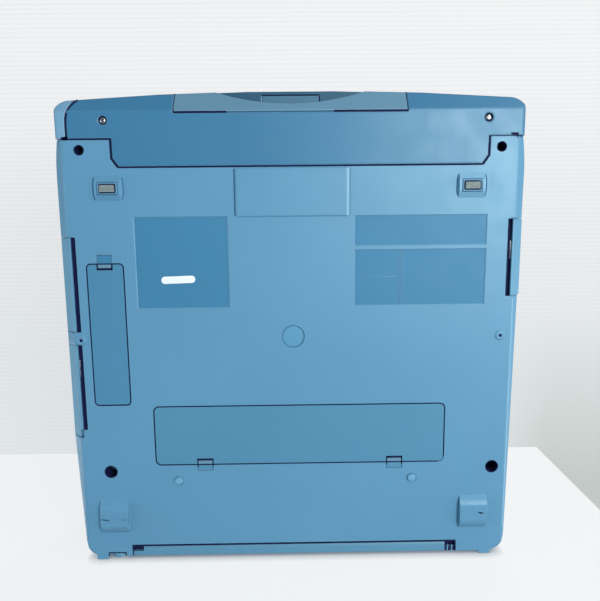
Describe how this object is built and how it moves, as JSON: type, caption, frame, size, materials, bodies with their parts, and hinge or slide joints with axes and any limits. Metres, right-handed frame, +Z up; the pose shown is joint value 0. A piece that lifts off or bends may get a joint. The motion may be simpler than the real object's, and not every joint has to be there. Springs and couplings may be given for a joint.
{
  "type": "electronic word processor",
  "caption": "Portable word processor: hinged display lid over a keyboard, thermal printer at the rear, underside with feet, screw wells, a battery door and a pull-out carry handle.",
  "frame": {"origin": "middle of the footprint at desk level, with the machine standing on its feet and its lid closed", "axes": "+X to the right of the person typing, +Y towards the rear, +Z up"},
  "size_m": [0.345, 0.3607, 0.088],
  "materials": {
    "body_blue": "fine matte grain, mid blue",
    "front_blue": "fine matte grain, slightly deeper blue",
    "key_grey": "fine matte grain, pale grey",
    "pad_grey": "matte grey rubber",
    "charcoal": "matte charcoal",
    "board_green": "green solder mask",
    "display": "smooth grey-green display face",
    "platen_rubber": "black rubber",
    "steel": "plain plated steel",
    "dark_steel": "dark plated steel"
  },
  "bodies": {
    "base": {"bottom_case": "body_blue", "front_cover": "front_blue", "front_end_cap": "front_blue", "front_foot_left": "pad_grey", "front_foot_right": "pad_grey", "battery_pack": "charcoal", "option_card": "charcoal", "case_screw_front_left": "dark_steel", "case_screw_front_right": "dark_steel", "case_screw_rear_left": "dark_steel", "case_screw_rear_right": "dark_steel", "cover_screw_left": "steel", "cover_screw_right": "steel", "top_case": "body_blue", "hinge_left": "steel", "hinge_right": "steel", "keyboard_plate": "dark_steel", "printer_frame": "steel", "feed_motor": "dark_steel", "guide_rod": "steel", "carriage_belt": "platen_rubber", "main_board": "board_green", "power_board": "board_green", "floppy_drive": "charcoal", "power_inlet": "charcoal"},
    "handle": {"carry_handle": "body_blue"},
    "handle_release": {"handle_release": "body_blue"},
    "battery_door": {"battery_door": "body_blue"},
    "option_door": {"option_door": "body_blue"},
    "left_cover_front": {"left_cover_front": "body_blue"},
    "left_cover_rear": {"left_cover_rear": "body_blue"},
    "right_cover": {"right_cover": "body_blue"},
    "paper_flap": {"paper_flap": "body_blue"},
    "printer_cover": {"printer_cover": "body_blue"},
    "lid": {"lid_shell": "body_blue", "lid_bezel": "key_grey", "lcd_panel": "display"},
    "latch": {"lid_latch": "front_blue"},
    "platen": {"platen_roller": "platen_rubber", "paper_feed_knob": "charcoal"},
    "carriage": {"print_carriage": "charcoal", "ribbon_cassette": "charcoal"},
    "eject_button": {"floppy_eject_button": "key_grey"},
    "power_switch": {"power_switch": "charcoal"},
    "contrast_dial": {"contrast_dial": "charcoal"},
    "keys_space_row_left": {"keys_space_row_left": "key_grey"},
    "keys_space": {"keys_space": "key_grey"},
    "keys_space_row_right": {"keys_space_row_right": "key_grey"},
    "keys_cursor": {"keys_cursor": "key_grey"},
    "keys_shift_left": {"keys_shift_left": "key_grey"},
    "keys_lower_row": {"keys_lower_row": "key_grey"},
    "keys_shift_right": {"keys_shift_right": "key_grey"},
    "keys_home_row": {"keys_home_row": "key_grey"},
    "keys_return": {"keys_return": "key_grey"},
    "keys_upper_row": {"keys_upper_row": "key_grey"},
    "keys_digit_row": {"keys_digit_row": "key_grey"},
    "keys_function_left": {"keys_function_left": "key_grey"},
    "keys_function_middle": {"keys_function_middle": "key_grey"},
    "keys_function_right": {"keys_function_right": "key_grey"}
  },
  "joints": [
    {"name": "handle_pull", "type": "slide", "parent": "base", "child": "handle", "axis": [0, -1, 0], "range_m": [0, 0.03]},
    {"name": "handle_release_press", "type": "slide", "parent": "handle", "child": "handle_release", "axis": [0, 0, 1], "range_m": [0, 0.0012], "stiffness_N_per_m": 600, "springref_m": -0.001},
    {"name": "battery_door_turn", "type": "hinge", "parent": "base", "child": "battery_door", "pos_m": [0.00415, 0.0543, 0.004], "axis": [-1, 0, 0], "range_deg": [0, 90]},
    {"name": "option_door_turn", "type": "hinge", "parent": "base", "child": "option_door", "pos_m": [-0.13885, 0.0526, 0.004], "axis": [1, 0, 0], "range_deg": [0, 90]},
    {"name": "left_front_cover_turn", "type": "hinge", "parent": "base", "child": "left_cover_front", "pos_m": [-0.167, -0.0405, 0.009], "axis": [0, -1, 0], "range_deg": [0, 90]},
    {"name": "left_rear_cover_turn", "type": "hinge", "parent": "base", "child": "left_cover_rear", "pos_m": [-0.167, 0.0416, 0.009], "axis": [0, -1, 0], "range_deg": [0, 90]},
    {"name": "right_cover_turn", "type": "hinge", "parent": "base", "child": "right_cover", "pos_m": [0.167, -0.05785, 0.009], "axis": [0, 1, 0], "range_deg": [0, 90]},
    {"name": "paper_flap_turn", "type": "hinge", "parent": "base", "child": "paper_flap", "pos_m": [-0.001, 0.17365, 0.0093], "axis": [-1, 0, 0], "range_deg": [0, 80]},
    {"name": "printer_cover_turn", "type": "hinge", "parent": "base", "child": "printer_cover", "pos_m": [0, 0.158, 0.088], "axis": [-1, 0, 0], "range_deg": [0, 70]},
    {"name": "lid_turn", "type": "hinge", "parent": "base", "child": "lid", "pos_m": [0, 0.032, 0.078], "axis": [-1, 0, 0], "range_deg": [0, 120]},
    {"name": "latch_slide", "type": "slide", "parent": "lid", "child": "latch", "axis": [1, 0, 0], "range_m": [0, 0.005], "stiffness_N_per_m": 300, "springref_m": -0.002},
    {"name": "platen_spin", "type": "hinge", "parent": "base", "child": "platen", "pos_m": [0, 0.116, 0.066], "axis": [1, 0, 0], "continuous": true},
    {"name": "carriage_slide", "type": "slide", "parent": "base", "child": "carriage", "axis": [1, 0, 0], "range_m": [0, 0.164]},
    {"name": "eject_press", "type": "slide", "parent": "base", "child": "eject_button", "axis": [-1, 0, 0], "range_m": [0, 0.003], "stiffness_N_per_m": 400, "springref_m": -0.001},
    {"name": "power_slide", "type": "slide", "parent": "base", "child": "power_switch", "axis": [0, 1, 0], "range_m": [0, 0.006]},
    {"name": "contrast_turn", "type": "hinge", "parent": "base", "child": "contrast_dial", "pos_m": [0.1618, -0.12, 0.052], "axis": [0, 0, 1], "range_deg": [0, 270]},
    {"name": "keys_space_row_left_press", "type": "slide", "parent": "base", "child": "keys_space_row_left", "axis": [0, 0, -1], "range_m": [0, 0.003], "stiffness_N_per_m": 400, "springref_m": -0.003},
    {"name": "keys_space_press", "type": "slide", "parent": "base", "child": "keys_space", "axis": [0, 0, -1], "range_m": [0, 0.003], "stiffness_N_per_m": 400, "springref_m": -0.003},
    {"name": "keys_space_row_right_press", "type": "slide", "parent": "base", "child": "keys_space_row_right", "axis": [0, 0, -1], "range_m": [0, 0.003], "stiffness_N_per_m": 400, "springref_m": -0.003},
    {"name": "keys_cursor_press", "type": "slide", "parent": "base", "child": "keys_cursor", "axis": [0, 0, -1], "range_m": [0, 0.003], "stiffness_N_per_m": 400, "springref_m": -0.003},
    {"name": "keys_shift_left_press", "type": "slide", "parent": "base", "child": "keys_shift_left", "axis": [0, 0, -1], "range_m": [0, 0.003], "stiffness_N_per_m": 400, "springref_m": -0.003},
    {"name": "keys_lower_row_press", "type": "slide", "parent": "base", "child": "keys_lower_row", "axis": [0, 0, -1], "range_m": [0, 0.003], "stiffness_N_per_m": 400, "springref_m": -0.003},
    {"name": "keys_shift_right_press", "type": "slide", "parent": "base", "child": "keys_shift_right", "axis": [0, 0, -1], "range_m": [0, 0.003], "stiffness_N_per_m": 400, "springref_m": -0.003},
    {"name": "keys_home_row_press", "type": "slide", "parent": "base", "child": "keys_home_row", "axis": [0, 0, -1], "range_m": [0, 0.003], "stiffness_N_per_m": 400, "springref_m": -0.003},
    {"name": "keys_return_press", "type": "slide", "parent": "base", "child": "keys_return", "axis": [0, 0, -1], "range_m": [0, 0.003], "stiffness_N_per_m": 400, "springref_m": -0.003},
    {"name": "keys_upper_row_press", "type": "slide", "parent": "base", "child": "keys_upper_row", "axis": [0, 0, -1], "range_m": [0, 0.003], "stiffness_N_per_m": 400, "springref_m": -0.003},
    {"name": "keys_digit_row_press", "type": "slide", "parent": "base", "child": "keys_digit_row", "axis": [0, 0, -1], "range_m": [0, 0.003], "stiffness_N_per_m": 400, "springref_m": -0.003},
    {"name": "keys_function_left_press", "type": "slide", "parent": "base", "child": "keys_function_left", "axis": [0, 0, -1], "range_m": [0, 0.003], "stiffness_N_per_m": 400, "springref_m": -0.003},
    {"name": "keys_function_middle_press", "type": "slide", "parent": "base", "child": "keys_function_middle", "axis": [0, 0, -1], "range_m": [0, 0.003], "stiffness_N_per_m": 400, "springref_m": -0.003},
    {"name": "keys_function_right_press", "type": "slide", "parent": "base", "child": "keys_function_right", "axis": [0, 0, -1], "range_m": [0, 0.003], "stiffness_N_per_m": 400, "springref_m": -0.003}
  ]
}
